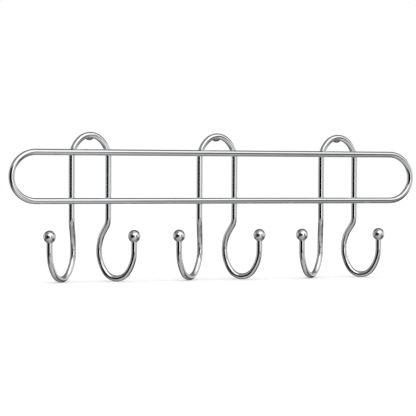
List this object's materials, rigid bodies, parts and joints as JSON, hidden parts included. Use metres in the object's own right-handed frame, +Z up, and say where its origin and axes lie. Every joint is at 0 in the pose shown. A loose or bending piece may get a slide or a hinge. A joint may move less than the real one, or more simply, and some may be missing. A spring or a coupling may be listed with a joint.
{
  "type": "hook rack",
  "caption": "Wall rack of chromed wire: a long flat loop with hairpins welded behind it, which hang on screws by their arches and end in ball-tipped hooks.",
  "frame": {"origin": "middle hanging point, under the lug of the middle arch, halfway through the lug's depth", "axes": "+X along the rack to a viewer's right, +Y to the wall, so that the front faces -Y, +Z up"},
  "size_m": [0.41, 0.0294, 0.1401],
  "materials": {
    "chrome": "bright chrome plate on steel wire"
  },
  "bodies": {
    "root": {"loop": "chrome", "hairpin_left": "chrome", "hairpin_middle": "chrome", "hairpin_right": "chrome", "ball_left_left": "chrome", "ball_left_right": "chrome", "ball_middle_left": "chrome", "ball_middle_right": "chrome", "ball_right_left": "chrome", "ball_right_right": "chrome", "lug_left": "chrome", "lug_middle": "chrome", "lug_right": "chrome"}
  },
  "joints": []
}
